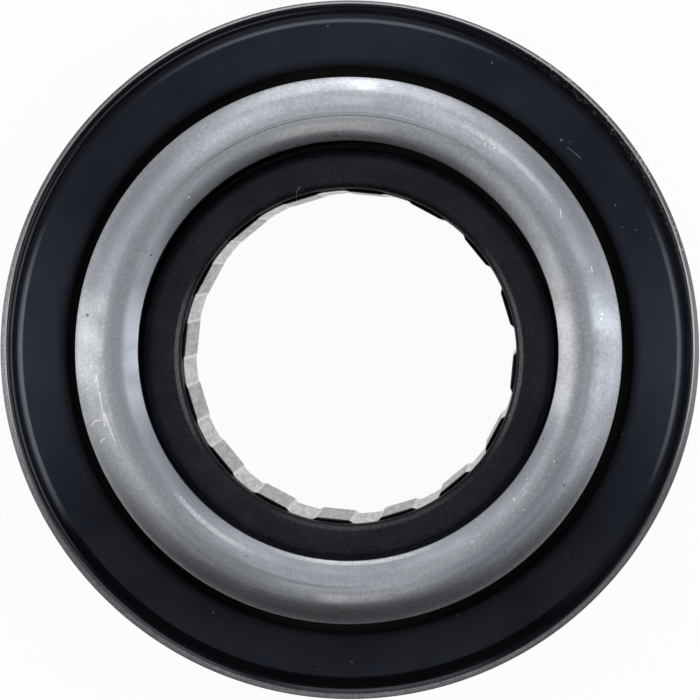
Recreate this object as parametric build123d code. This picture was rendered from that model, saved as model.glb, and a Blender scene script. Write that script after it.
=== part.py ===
from build123d import *
import math
import os

# A self-centring clutch release bearing that stands on its rear face.
# The origin is on the axis of the guide bore at the rear face, and +Z points to the contact nose.
# All sizes are millimetres, and every turned outline is a list of (radius, height) points.

# Guide sleeve: a ribbed bore for a 35 mm guide tube
rib_tip_radius = 17.55
rib_height = 0.42
rib_count = 16
rib_tip_angle = 11.5
rib_phase = 16.9
rib_flank = 0.4
rib_root_depth = 0.5
rib_end_height = 28.9
sleeve_height = 30.0
sleeve_wall_radius = 20.9
sleeve_front_radius = 22.3
sleeve_front_depth = 2.4
sleeve_front_taper = 1.15
sleeve_inner_round = 0.93
sleeve_outer_round = 1.2

# Rear flange of the sleeve, and the steel plate that the release fork pushes on
plate_thickness = 2.0
plate_bore_radius = 21.4
plate_radius = 30.0
plate_across_flats = 52.0
flange_top = 5.0
flange_radius = 31.0
flange_across_flats = 54.0
flange_edge_round = 0.6
tab_width = 8.0
tab_thickness = 1.6
tab_height = 4.4
tab_bend_radius = 0.8
tab_reach = 30.6
plate_edge_break = 0.25

# Disc spring and snap ring that hold the bearing on the flange and let it float sideways
face_gap = 0.05
float_offset = 0.63
spring_bore_radius = 22.4
spring_radius = 27.5
spring_thickness = 0.7
spring_rise = 1.1
snap_ring_radius = 23.2
snap_ring_thickness = 1.2
snap_groove_depth = 0.8
snap_ring_opening = 30.0

# Casing: a drawn cup with a floor at the rear and a staked front edge
casing_radius = 37.6
casing_wall = 1.2
casing_floor_bore = 24.0
casing_bend_radius = 3.0
casing_inner_bend_radius = 1.8
casing_floor_round = 0.2
rim_height = 27.6
rim_land = 0.6
rim_outer_break = 0.05
rim_inner_break = 0.13
rim_inner_drop = 0.08
stake_reach = 0.15
stake_depth = 0.85
stake_step = 0.3
stake_slope = 0.2
stake_groove = 0.09

# Front shield: a pressed sheet ring, clamped by its outer flange
shield_top = 27.3
shield_thickness = 0.7
shield_flange_top = 26.5
shield_flange_thickness = 0.6
shield_step_outer = 35.98
shield_step_inner = 35.45
shield_roll_start = 34.3
shield_roll_drop = 0.12
shield_roll_round = 4.0
shield_bore_radius = 30.6
shield_bore_round = 0.95
shield_skirt = 1.9
shield_bend_round = 0.35

# Races, balls and cage
ball_radius = 3.969
ball_count = 16
ball_phase = 5.0
ball_plane = 17.0
race_gap = 0.08
pitch_radius = 28.62
shoulder_offset = 1.68
relief_offset = 3.81
outer_seat_rear = 11.0
outer_rear_bore = 31.6
outer_ring_chamfer = 2.1
cage_inner_radius = 27.5
cage_outer_radius = 29.8
cage_rear = 14.2
cage_front = 22.2
pocket_radius = 4.1

# Inner ring with its crowned contact nose, whose lip reaches inwards over the sleeve's front end
inner_ring_bore_radius = 23.3
lip_underside = 31.4
lip_root_round = 0.8
nose_lip_radius = 22.45
nose_radius = 29.25
nose_apex_radius = 25.3
nose_crown_radius = 5.15
nose_top = 34.0
nose_underside = 29.2
nose_inner_round = 0.15
nose_neck_round = 0.8
inner_ring_rear = 10.6

# Lip seals between the races
lip_gap = 0.06
seal_rim = 1.4
front_seal_rear = 22.9
front_seal_front = 25.2
rear_seal_front = 12.7
seal_web = 0.9

rib_root_radius = rib_tip_radius + rib_height
race_radius = ball_radius + race_gap
inner_relief_radius = pitch_radius - relief_offset
inner_shoulder_radius = pitch_radius - shoulder_offset
outer_relief_radius = pitch_radius + relief_offset
outer_shoulder_radius = pitch_radius + shoulder_offset
casing_inner_radius = casing_radius - casing_wall
casing_floor = flange_top + face_gap
casing_floor_top = casing_floor + casing_wall
shield_flange_bottom = shield_flange_top - shield_flange_thickness
snap_ring_rear = casing_floor_top + face_gap + spring_rise + spring_thickness + face_gap


def corner(section, radius, height):
    """The vertex of a section that lies nearest to a point of its outline."""
    return section.vertices().sort_by_distance((radius, height))[0]


def turned(section):
    """A section in radius and height, turned once round the Z axis."""
    return revolve(Plane.XZ * section, Axis.Z)


def outline(*points):
    """A closed section through (radius, height) points."""
    return make_face(Polyline(*points, close=True))


def across_flats(width, height):
    """A block that trims a disc to two parallel flats across Y."""
    on_base = (Align.CENTER, Align.CENTER, Align.MIN)
    return Box(4 * flange_radius, width, height, align=on_base)


def rib():
    """One low, wide rib of the bore, from the rear end nearly to the front face."""
    half = math.radians(rib_tip_angle / 2)
    foot = half + rib_flank / rib_root_radius
    tip = [(rib_tip_radius * math.cos(a), rib_tip_radius * math.sin(a)) for a in (-half, 0, half)]
    root_radius = rib_root_radius + rib_root_depth
    low = [(r * math.cos(foot), -r * math.sin(foot)) for r in (rib_root_radius, root_radius)]
    high = [(x, -y) for x, y in reversed(low)]
    edges = [ThreePointArc(*tip), Polyline(tip[2], high[1], high[0], low[1], low[0], tip[0])]
    return extrude(make_face(edges), rib_end_height)


def guide_sleeve():
    """Moulded sleeve: ribbed bore, thick front end, rear flange with flats and the snap ring's groove."""
    snap_groove_top = snap_ring_rear + snap_ring_thickness
    front_rear = sleeve_height - sleeve_front_depth
    section = outline(
        (rib_root_radius, 0),
        (plate_bore_radius, 0),
        (plate_bore_radius, plate_thickness),
        (flange_radius, plate_thickness),
        (flange_radius, flange_top),
        (sleeve_wall_radius, flange_top),
        (sleeve_wall_radius, snap_ring_rear),
        (sleeve_wall_radius - snap_groove_depth, snap_ring_rear),
        (sleeve_wall_radius - snap_groove_depth, snap_groove_top),
        (sleeve_wall_radius, snap_groove_top),
        (sleeve_wall_radius, front_rear - sleeve_front_taper),
        (sleeve_front_radius, front_rear),
        (sleeve_front_radius, sleeve_height),
        (rib_root_radius, sleeve_height),
    )
    section = fillet(corner(section, rib_root_radius, sleeve_height), sleeve_inner_round)
    section = fillet(corner(section, sleeve_front_radius, sleeve_height), sleeve_outer_round)
    section = fillet(corner(section, flange_radius, flange_top), flange_edge_round)
    sleeve = turned(section) & across_flats(flange_across_flats, sleeve_height)
    notch = Box(2 * flange_radius, tab_width, flange_top - plate_thickness)
    notch_x = tab_reach - tab_thickness + flange_radius
    for side in (-1, 1):
        sleeve -= Pos(side * notch_x, 0, (plate_thickness + flange_top) / 2) * notch
    for index in range(rib_count):
        sleeve += Rot(0, 0, rib_phase + index * 360 / rib_count) * rib()
    return sleeve


def plate_tab():
    """One tab of the thrust plate: it runs outwards and turns up beside the flange."""
    start = plate_radius - 2 * tab_thickness
    section = outline(
        (start, 0),
        (tab_reach, 0),
        (tab_reach, tab_height),
        (tab_reach - tab_thickness, tab_height),
        (tab_reach - tab_thickness, plate_thickness),
        (start, plate_thickness),
    )
    section = fillet(corner(section, tab_reach, 0), tab_bend_radius)
    return extrude(Plane.XZ * section, tab_width / 2, both=True)


def thrust_plate():
    """Hardened ring plate with two flats, held in the flange by two tabs that are bent up."""
    disc = turned(
        outline(
            (plate_bore_radius, 0),
            (plate_radius, 0),
            (plate_radius, plate_thickness),
            (plate_bore_radius, plate_thickness),
        )
    )
    plate = disc & across_flats(plate_across_flats, plate_thickness)
    rear_face = plate.faces().sort_by(Axis.Z)[0]
    plate = chamfer(rear_face.outer_wire().edges(), plate_edge_break)
    for turn in (0, 180):
        plate += Rot(0, 0, turn) * plate_tab()
    return plate


def retaining_ring():
    """Flat snap ring with an opening, seated in the sleeve's groove."""
    bore = sleeve_wall_radius - snap_groove_depth
    top = snap_ring_rear + snap_ring_thickness
    ring = turned(
        outline(
            (bore, snap_ring_rear),
            (snap_ring_radius, snap_ring_rear),
            (snap_ring_radius, top),
            (bore, top),
        )
    )
    half = math.radians(snap_ring_opening / 2)
    far_x = 2 * snap_ring_radius * math.cos(half)
    far_y = 2 * snap_ring_radius * math.sin(half)
    wedge = outline((0, 0), (far_x, -far_y), (far_x, far_y))
    return ring - extrude(wedge, top)


def float_spring():
    """Conical disc spring between the casing's floor and the snap ring."""
    low = casing_floor_top + face_gap
    return turned(
        outline(
            (spring_radius, low),
            (spring_radius, low + spring_thickness),
            (spring_bore_radius, low + spring_rise + spring_thickness),
            (spring_bore_radius, low + spring_rise),
        )
    )


def casing():
    """Drawn cup whose front edge is staked inwards over the shield's flange in two steps."""
    stake_tip = casing_inner_radius - stake_reach
    stake_foot = rim_height - stake_depth
    stake_top = rim_height - stake_step
    land_edge = casing_radius - rim_land
    middle = (stake_tip + land_edge) / 2
    section = outline(
        (casing_floor_bore, casing_floor),
        (casing_radius, casing_floor),
        (casing_radius, rim_height),
        (land_edge + rim_inner_break, rim_height),
        (land_edge, rim_height - rim_inner_drop),
        (land_edge - stake_groove / 2, stake_top),
        (middle + stake_groove / 2, stake_top - stake_slope),
        (middle - stake_groove / 2, stake_top - stake_slope),
        (stake_tip, stake_foot),
        (stake_tip, shield_flange_top),
        (casing_inner_radius, shield_flange_top),
        (casing_inner_radius, casing_floor_top),
        (casing_floor_bore, casing_floor_top),
    )
    section = fillet(corner(section, casing_radius, casing_floor), casing_bend_radius)
    section = fillet(corner(section, casing_inner_radius, casing_floor_top), casing_inner_bend_radius)
    for height in (casing_floor, casing_floor_top):
        section = fillet(corner(section, casing_floor_bore, height), casing_floor_round)
    section = chamfer(corner(section, casing_radius, rim_height), rim_outer_break)
    return turned(section)


def front_shield():
    """Pressed sheet ring: clamped flange, step, flat face that rolls off, and an inner edge turned down."""
    skirt_bottom = shield_top - shield_skirt
    inside = shield_top - shield_thickness
    step_under = shield_step_outer - shield_thickness / 2
    section = outline(
        (casing_inner_radius, shield_flange_bottom),
        (casing_inner_radius, shield_flange_top),
        (shield_step_outer, shield_flange_top),
        (shield_step_inner, shield_top - shield_roll_drop),
        (shield_roll_start, shield_top),
        (shield_bore_radius, shield_top),
        (shield_bore_radius, skirt_bottom),
        (shield_bore_radius + shield_thickness, skirt_bottom),
        (shield_bore_radius + shield_thickness, inside),
        (shield_step_inner - shield_thickness / 2, inside),
        (step_under, shield_flange_bottom),
    )
    section = fillet(corner(section, shield_bore_radius, shield_top), shield_bore_round)
    section = fillet(corner(section, shield_step_inner, shield_top - shield_roll_drop), shield_bend_round)
    section = fillet(corner(section, shield_roll_start, shield_top), shield_roll_round)
    return turned(section)


def race_circle():
    """The circle that both raceways follow, a little larger than a ball."""
    return Pos(pitch_radius, ball_plane) * Circle(race_radius)


def outer_ring():
    """Standing race that bears on the casing's floor, with its high shoulder at the rear."""
    front = shield_flange_bottom
    section = outline(
        (casing_inner_radius, casing_floor_top),
        (casing_inner_radius, front),
        (outer_relief_radius, front),
        (outer_relief_radius, ball_plane),
        (outer_shoulder_radius, ball_plane),
        (outer_shoulder_radius, outer_seat_rear),
        (outer_rear_bore, outer_seat_rear),
        (outer_rear_bore, casing_floor_top),
    )
    section = chamfer(corner(section, casing_inner_radius, casing_floor_top), outer_ring_chamfer)
    return turned(section - race_circle())


def inner_ring():
    """Turning race whose front end is the crowned nose; its high shoulder is at the front."""
    crown_centre = nose_top - nose_crown_radius
    outer_drop = math.sqrt(nose_crown_radius**2 - (nose_radius - nose_apex_radius) ** 2)
    inner_drop = math.sqrt(nose_crown_radius**2 - (nose_apex_radius - nose_lip_radius) ** 2)
    outer_edge = (nose_radius, crown_centre + outer_drop)
    inner_edge = (nose_lip_radius, crown_centre + inner_drop)
    crown = ThreePointArc(outer_edge, (nose_apex_radius, nose_top), inner_edge)
    back = Polyline(
        inner_edge,
        (nose_lip_radius, lip_underside),
        (inner_ring_bore_radius, lip_underside),
        (inner_ring_bore_radius, inner_ring_rear),
        (inner_relief_radius, inner_ring_rear),
        (inner_relief_radius, ball_plane),
        (inner_shoulder_radius, ball_plane),
        (inner_shoulder_radius, nose_underside),
        (nose_radius, nose_underside),
        outer_edge,
    )
    section = make_face([crown, back])
    section = fillet(corner(section, *inner_edge), nose_inner_round)
    section = fillet(corner(section, inner_ring_bore_radius, lip_underside), lip_root_round)
    section = fillet(corner(section, inner_shoulder_radius, nose_underside), nose_neck_round)
    return turned(section - race_circle())


def ball_cage():
    """Snap cage: a plain band whose round pockets are open to the rear."""
    height = cage_front - cage_rear
    band = Cylinder(cage_outer_radius, height) - Cylinder(cage_inner_radius, height)
    cage = Pos(0, 0, (cage_front + cage_rear) / 2) * band
    pocket = Pos(pitch_radius, 0, ball_plane) * Rot(0, 90, 0) * Cylinder(pocket_radius, 2 * pocket_radius)
    for index in range(ball_count):
        cage -= Rot(0, 0, ball_phase + index * 360 / ball_count) * pocket
    return cage


def ball(index):
    """One ball in its place on the pitch circle."""
    turn = Rot(0, 0, ball_phase + index * 360 / ball_count)
    return turn * Pos(pitch_radius, 0, ball_plane) * Sphere(ball_radius)


def front_seal():
    """Rubber lip ring seated in the outer ring's front bore."""
    lip_radius = inner_shoulder_radius + lip_gap
    return turned(
        outline(
            (outer_relief_radius, front_seal_rear),
            (outer_relief_radius, front_seal_front),
            (outer_relief_radius - seal_rim, front_seal_front),
            (outer_relief_radius - seal_rim, front_seal_rear + seal_web),
            (lip_radius + seal_web, front_seal_rear + seal_web),
            (lip_radius, front_seal_front),
            (lip_radius, front_seal_rear),
        )
    )


def rear_seal():
    """Rubber lip ring seated in the outer ring's rear bore."""
    lip_radius = inner_relief_radius + lip_gap
    web_rear = rear_seal_front - seal_web
    return turned(
        outline(
            (outer_shoulder_radius, outer_seat_rear),
            (outer_shoulder_radius, rear_seal_front),
            (lip_radius, rear_seal_front),
            (lip_radius, outer_seat_rear),
            (lip_radius + seal_web, web_rear),
            (outer_shoulder_radius - seal_rim, web_rear),
            (outer_shoulder_radius - seal_rim, outer_seat_rear),
        )
    )


def bearing_nodes():
    """The pieces that float together, in the bearing's own centre."""
    nodes = {
        "casing": casing(),
        "front_shield": front_shield(),
        "outer_ring": outer_ring(),
        "inner_ring": inner_ring(),
        "ball_cage": ball_cage(),
        "front_seal": front_seal(),
        "rear_seal": rear_seal(),
    }
    for index in range(ball_count):
        nodes[f"ball_{index + 1:02d}"] = ball(index)
    return nodes


def sleeve_nodes():
    """The pieces that stay centred on the guide bore."""
    return {
        "guide_sleeve": guide_sleeve(),
        "thrust_plate": thrust_plate(),
        "retaining_ring": retaining_ring(),
        "float_spring": float_spring(),
    }


os.makedirs("parts", exist_ok=True)
for name, solid in sleeve_nodes().items():
    export_step(solid, f"parts/{name}.step")
for name, solid in bearing_nodes().items():
    # At rest the bearing has dropped sideways on the sleeve by most of its play.
    export_step(Pos(0, float_offset, 0) * solid, f"parts/{name}.step")
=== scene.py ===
import math

import bmesh
import bpy
from mathutils import Matrix, Vector, noise


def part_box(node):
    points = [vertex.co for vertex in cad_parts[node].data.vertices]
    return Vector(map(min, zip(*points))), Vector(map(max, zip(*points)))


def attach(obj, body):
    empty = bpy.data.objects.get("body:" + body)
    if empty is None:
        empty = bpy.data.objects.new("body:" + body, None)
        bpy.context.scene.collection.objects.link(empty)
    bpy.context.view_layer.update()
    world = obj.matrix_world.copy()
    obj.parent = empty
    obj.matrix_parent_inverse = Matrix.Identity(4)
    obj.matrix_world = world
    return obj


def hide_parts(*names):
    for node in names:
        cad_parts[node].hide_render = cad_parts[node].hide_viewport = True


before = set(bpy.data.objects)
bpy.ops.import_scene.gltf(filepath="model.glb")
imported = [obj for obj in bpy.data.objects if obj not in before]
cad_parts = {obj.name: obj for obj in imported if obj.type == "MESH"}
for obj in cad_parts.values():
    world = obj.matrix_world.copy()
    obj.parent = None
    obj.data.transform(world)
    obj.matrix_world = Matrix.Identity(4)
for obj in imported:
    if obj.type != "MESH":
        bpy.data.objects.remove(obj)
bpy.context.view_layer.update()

mm = 0.001  # every size below is in millimetres, and meshes are in metres


def boxOf(node):
    # Half width in X, centre, lowest and highest point of a piece of the frame
    low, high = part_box(node)
    centre = (low + high) / 2 / mm
    return (high.x - low.x) / 2 / mm, Vector((centre.x, centre.y, 0)), low.z / mm, high.z / mm


casingRadius, bearingAxis, casingFloor, rimHeight = boxOf("casing")
shieldEdge, _, shieldSkirtEnd, shieldTop = boxOf("front_shield")
noseRadius, _, ringRear, noseTop = boxOf("inner_ring")
tabReach = boxOf("thrust_plate")[0]
sleeveAxis, sleeveTop = boxOf("guide_sleeve")[1::2]
snapRear, snapFront = boxOf("retaining_ring")[2:]


def markPlace(look, pixel):
    # Where a mark of the photograph lies on a piece, from the piece's own axis
    across = (pixel[0] - look["pixelCentre"][0]) * look["pixelSize"]
    along = (look["pixelCentre"][1] - pixel[1]) * look["pixelSize"]
    return across, along, 0


# Mesh helpers. A section is a closed wire of (radius, height) points in the XZ plane

def sectionPoint(radius, height):
    return Vector((radius * mm, 0, height * mm))


def drawSection(bm, start, *moves):
    # A move is an end point, or an end point with the centre of its arc and the steps in it
    first = last = bm.verts.new(sectionPoint(*start))
    for move in moves:
        end = sectionPoint(*move[:2])
        if len(move) == 2:
            vert = bm.verts.new(end)
            bm.edges.new((last, vert))
        else:
            centre = sectionPoint(*move[2:4])
            turn = (last.co - centre).xz.angle_signed((end - centre).xz)
            made = bmesh.ops.spin(bm, geom=[last], cent=centre, axis=(0, 1, 0), angle=turn, steps=move[4])
            vert = next(item for item in made["geom_last"] if isinstance(item, bmesh.types.BMVert))
            vert.co = end
        last = vert
    bm.edges.new((last, first))


def roundCorners(bm, *corners):
    # Rounds the section's corners that lie nearest to a radius and height, each in a few segments
    for radius, height, size, segments in corners:
        point = sectionPoint(radius, height)
        corner = min(bm.verts, key=lambda vert: (vert.co - point).length)
        bmesh.ops.bevel(
            bm, geom=[corner], offset=size * mm, offset_type="OFFSET", affect="VERTICES",
            segments=segments, profile=0.5, material=-1, clamp_overlap=True,
        )


def spinSection(bm, axis, steps, startAngle=0.0):
    # Turns the section once round Z, then puts it on its own axis
    bmesh.ops.rotate(bm, verts=bm.verts, cent=(0, 0, 0), matrix=Matrix.Rotation(startAngle, 3, "Z"))
    bmesh.ops.spin(
        bm, geom=bm.verts[:] + bm.edges[:], cent=(0, 0, 0), axis=(0, 0, 1),
        angle=2 * math.pi, steps=steps, use_merge=True,
    )
    bmesh.ops.remove_doubles(bm, verts=bm.verts, dist=1e-7)
    bmesh.ops.recalc_face_normals(bm, faces=bm.faces)
    bmesh.ops.translate(bm, verts=bm.verts, vec=axis * mm)


def addObject(name, data):
    thing = bpy.data.objects.new(name, data)
    bpy.context.scene.collection.objects.link(thing)
    return thing


def cutBoxes(bm, boxes):
    # Cuts away what lies inside boxes, each given by its lowest and highest corner
    cutter = bmesh.new()
    for low, high in boxes:
        low, high = Vector(low) * mm, Vector(high) * mm
        place = Matrix.Translation((high + low) / 2) @ Matrix.Diagonal((*(high - low), 1))
        bmesh.ops.create_cube(cutter, size=1, matrix=place)
    helpers = []
    for label, source in (("blank", bm), ("cutter", cutter)):
        mesh = bpy.data.meshes.new(label)
        source.to_mesh(mesh)
        helpers.append(addObject(label, mesh))
    cut = helpers[0].modifiers.new("cut", "BOOLEAN")
    cut.operation, cut.solver, cut.object = "DIFFERENCE", "EXACT", helpers[1]
    blank = helpers[0].evaluated_get(bpy.context.evaluated_depsgraph_get())
    result = bpy.data.meshes.new_from_object(blank)
    bm.clear()
    cutter.free()
    bm.from_mesh(result)
    bpy.data.meshes.remove(result)
    for helper in helpers:
        mesh = helper.data
        bpy.data.objects.remove(helper)
        bpy.data.meshes.remove(mesh)


def finishPiece(bm, name, body, material, replaced, sharpAngle=35):
    # Makes the piece, smooths it, and seats it in the frame in place of its plain solid
    mesh = bpy.data.meshes.new(name)
    bm.to_mesh(mesh)
    bm.free()
    mesh.shade_smooth()
    mesh.set_sharp_from_angle(angle=math.radians(sharpAngle))
    mesh.materials.append(material)
    piece = addObject(name, mesh)
    weighted = piece.modifiers.new("evenShading", "WEIGHTED_NORMAL")
    weighted.keep_sharp = True
    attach(piece, body)
    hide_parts(replaced)
    print("made", name, "with", len(mesh.polygons), "faces")
    return piece


# Shader helpers

def addNode(tree, kind, **settings):
    node = tree.nodes.new(kind)
    for key, value in settings.items():
        setattr(node, key, value)
    return node


def feed(tree, socket, value):
    # A socket takes another node's output, or a plain value
    if isinstance(value, bpy.types.NodeSocket):
        tree.links.new(value, socket)
    else:
        socket.default_value = value


def calc(tree, operation, first, second=0.0, clamp=False):
    node = addNode(tree, "ShaderNodeMath", operation=operation, use_clamp=clamp)
    for socket, value in zip(node.inputs, (first, second)):
        feed(tree, socket, value)
    return node.outputs[0]


def times(tree, product, *factors):
    for factor in factors:
        product = calc(tree, "MULTIPLY", product, factor)
    return product


def outsideOf(tree, mask):
    return calc(tree, "SUBTRACT", 1.0, mask)


def mixOf(tree, first, second, share):
    # Two patterns added together, the first by its share and the second by the rest
    return calc(tree, "ADD", times(tree, first, share), times(tree, second, 1 - share))


def calcVector(tree, operation, first, second=(0, 0, 0), scale=None):
    node = addNode(tree, "ShaderNodeVectorMath", operation=operation)
    feed(tree, node.inputs[0], first)
    if operation not in ("SCALE", "LENGTH"):
        feed(tree, node.inputs[1], second)
    if scale is not None:
        feed(tree, node.inputs["Scale"], scale)
    return node.outputs["Value" if operation in ("DOT_PRODUCT", "LENGTH") else "Vector"]


def ramp(tree, value, low, high, outLow=0.0, outHigh=1.0):
    # A soft step between two values
    node = addNode(tree, "ShaderNodeMapRange", interpolation_type="SMOOTHSTEP")
    settings = {"Value": value, "From Min": low, "From Max": high, "To Min": outLow, "To Max": outHigh}
    for label, setting in settings.items():
        feed(tree, node.inputs[label], setting)
    return node.outputs["Result"]


def blendColour(tree, factor, first, second):
    node = addNode(tree, "ShaderNodeMix", data_type="RGBA")
    feed(tree, node.inputs[0], factor)
    feed(tree, node.inputs[6], first)
    feed(tree, node.inputs[7], second)
    return node.outputs[2]


def noiseValue(tree, vector, scale, detail=2.0, roughness=0.5):
    node = addNode(tree, "ShaderNodeTexNoise")
    settings = {"Vector": vector, "Scale": scale, "Detail": detail, "Roughness": roughness}
    for label, setting in settings.items():
        feed(tree, node.inputs[label], setting)
    return node.outputs[0]


def startGroup(name, inputs, outputs):
    # An input without a value is a vector, and everything else is a plain number
    group = bpy.data.node_groups.new(name, "ShaderNodeTree")
    for label, value in inputs.items():
        kind = "NodeSocketVector" if value is None else "NodeSocketFloat"
        socket = group.interface.new_socket(name=label, in_out="INPUT", socket_type=kind)
        if value is not None:
            socket.default_value = value
    for label in outputs:
        group.interface.new_socket(name=label, in_out="OUTPUT", socket_type="NodeSocketFloat")
    return group, addNode(group, "NodeGroupInput").outputs, addNode(group, "NodeGroupOutput").inputs


def useGroup(tree, group, **values):
    # Input names are written without their spaces
    node = addNode(tree, "ShaderNodeGroup", node_tree=group)
    for socket in node.inputs:
        key = socket.name.replace(" ", "")
        key = key[0].lower() + key[1:]
        if key in values:
            feed(tree, socket, values[key])
    return node.outputs


def startMaterial(name, axis, **settings):
    # A Principled material whose pattern runs in millimetres round the piece's own axis
    material = bpy.data.materials.new(name)
    material.use_nodes = True
    tree = material.node_tree
    shader = tree.nodes["Principled BSDF"].inputs
    for label, value in settings.items():
        shader[label.replace("_", " ")].default_value = value
    place = addNode(tree, "ShaderNodeMapping")
    feed(tree, place.inputs["Vector"], addNode(tree, "ShaderNodeTexCoord").outputs["Object"])
    place.inputs["Scale"].default_value = (1 / mm,) * 3
    place.inputs["Location"].default_value = -axis
    return material, tree, shader, place.outputs["Vector"]


def addBump(tree, shader, height, distance, strength=1.0):
    bump = addNode(tree, "ShaderNodeBump")
    bump.inputs["Distance"].default_value = distance * mm
    bump.inputs["Strength"].default_value = strength
    feed(tree, bump.inputs["Height"], height)
    feed(tree, shader["Normal"], bump.outputs["Normal"])


# Shared effects, each one node group

def makeRingPlace():
    # Radius, angle and height of a point on a turned piece
    group, given, out = startGroup("ringPlace", {"Place": None}, ("Radius", "Angle", "Height"))
    split = addNode(group, "ShaderNodeSeparateXYZ")
    feed(group, split.inputs[0], given["Place"])
    across = times(group, split.outputs["X"], split.outputs["X"])
    along = times(group, split.outputs["Y"], split.outputs["Y"])
    feed(group, out["Radius"], calc(group, "SQRT", calc(group, "ADD", across, along)))
    feed(group, out["Angle"], calc(group, "ARCTAN2", split.outputs["Y"], split.outputs["X"]))
    feed(group, out["Height"], split.outputs["Z"])
    return group


def makeTurnedLines():
    # Fine lines that run round a turned piece, broken up slowly along their length
    group, given, out = startGroup("turnedLines", {"Place": None, "Pitch": 0.1, "Drift": 0.3}, ("Lines",))
    at = useGroup(group, ringPlace, place=given["Place"])
    drift = times(group, noiseValue(group, given["Place"], 0.09), given["Drift"])
    rows = addNode(group, "ShaderNodeCombineXYZ")
    drifted = calc(group, "ADD", at["Radius"], drift)
    feed(group, rows.inputs["X"], calc(group, "DIVIDE", drifted, given["Pitch"]))
    feed(group, rows.inputs["Y"], calc(group, "DIVIDE", at["Height"], given["Pitch"]))
    feed(group, out["Lines"], noiseValue(group, rows.outputs[0], 1.0, 3.0, 0.6))
    return group


def makeSpecks():
    # Scattered round spots: dust, pits or bright flecks
    inputs = {"Place": None, "Spacing": 2.0, "Size": 0.1, "Share": 0.3}
    group, given, out = startGroup("specks", inputs, ("Mask",))
    cells = addNode(group, "ShaderNodeTexVoronoi", feature="F1")
    feed(group, cells.inputs["Vector"], given["Place"])
    feed(group, cells.inputs["Scale"], calc(group, "DIVIDE", 1.0, given["Spacing"]))
    reach = times(group, cells.outputs["Distance"], given["Spacing"])
    parts = addNode(group, "ShaderNodeSeparateColor")
    feed(group, parts.inputs[0], cells.outputs["Color"])
    kept = calc(group, "LESS_THAN", parts.outputs[0], given["Share"])
    size = times(group, given["Size"], calc(group, "ADD", parts.outputs[1], 0.35))
    spot = ramp(group, reach, size, times(group, size, 0.5))
    feed(group, out["Mask"], times(group, spot, kept))
    return group


def makeStroke():
    # One short scratch or hair between two points of the surface
    inputs = {"Place": None, "Start": None, "End": None, "Width": 0.08}
    group, given, out = startGroup("stroke", inputs, ("Mask",))
    span = calcVector(group, "SUBTRACT", given["End"], given["Start"])
    reach = calcVector(group, "SUBTRACT", given["Place"], given["Start"])
    share = calc(
        group, "DIVIDE", calcVector(group, "DOT_PRODUCT", reach, span),
        calcVector(group, "DOT_PRODUCT", span, span), clamp=True,
    )
    gap = calcVector(group, "SUBTRACT", reach, calcVector(group, "SCALE", span, scale=share))
    away = calcVector(group, "LENGTH", gap)
    feed(group, out["Mask"], ramp(group, away, given["Width"], times(group, given["Width"], 0.4)))
    return group


def makeArcWindow():
    # 1 near one direction round the axis, fading to 0 away from it
    group, given, out = startGroup("arcWindow", {"Angle": 0.0, "Centre": 0.0, "Reach": 0.5}, ("Mask",))
    apart = calc(group, "COSINE", calc(group, "SUBTRACT", given["Angle"], given["Centre"]))
    edge = calc(group, "COSINE", given["Reach"])
    feed(group, out["Mask"], ramp(group, apart, edge, 1.0))
    return group


def makeGrain():
    # Moulded or coated surface: fine grain for the bump and slow blotches for the colour
    inputs = {"Place": None, "Grain Size": 0.2, "Blotch Size": 8.0}
    group, given, out = startGroup("grain", inputs, ("Grain", "Blotch"))
    fine = calc(group, "DIVIDE", 1.0, given["Grain Size"])
    feed(group, out["Grain"], noiseValue(group, given["Place"], fine, 3.0, 0.6))
    slow = calc(group, "DIVIDE", 1.0, given["Blotch Size"])
    feed(group, out["Blotch"], noiseValue(group, given["Place"], slow, 4.0, 0.55))
    return group


ringPlace = makeRingPlace()
turnedLines = makeTurnedLines()
specks = makeSpecks()
stroke = makeStroke()
arcWindow = makeArcWindow()
grain = makeGrain()
print("shader groups ready")


# Masks on turned pieces, with directions in degrees round the axis

def arcMask(tree, at, centre, reach):
    turn, spread = math.radians(centre), math.radians(reach)
    return useGroup(tree, arcWindow, angle=at["Angle"], centre=turn, reach=spread)["Mask"]


def highest(tree, masks):
    total = 0.0
    for mask in masks:
        total = calc(tree, "MAXIMUM", mask, total)
    return total


def arcBands(tree, at, bands, base=0.0):
    # Bands on arcs of a ring: direction, reach, radius past the base, width and strength of each
    def masks():
        for centre, reach, radius, width, strength in bands:
            apart = calc(tree, "ABSOLUTE", calc(tree, "SUBTRACT", at["Radius"], base + radius))
            near = ramp(tree, apart, width, width * 0.4)
            yield times(tree, near, arcMask(tree, at, centre, reach), strength)

    return highest(tree, masks())


def marksMask(tree, look, place, marks):
    # One mask of many spots and lines, seen from straight above
    flat = calcVector(tree, "MULTIPLY", place, (1, 1, 0))

    def masks():
        for mark in marks:
            start = markPlace(look, mark[:2])
            end = markPlace(look, mark[2:4]) if len(mark) == 5 else start
            yield useGroup(tree, stroke, place=flat, start=start, end=end, width=mark[-1])["Mask"]

    return highest(tree, masks())


def specksMask(tree, place, settings):
    return useGroup(tree, specks, place=place, **settings)["Mask"]


def turnedPatterns(tree, place, look):
    # Where a point lies round the axis, the turned lines there, and the grain and blotches
    at = useGroup(tree, ringPlace, place=place)
    lines = useGroup(tree, turnedLines, place=place, **look["lines"])["Lines"]
    return at, lines, useGroup(tree, grain, place=place, **look["cloud"])


# Contact nose: the bright crowned ring

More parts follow.
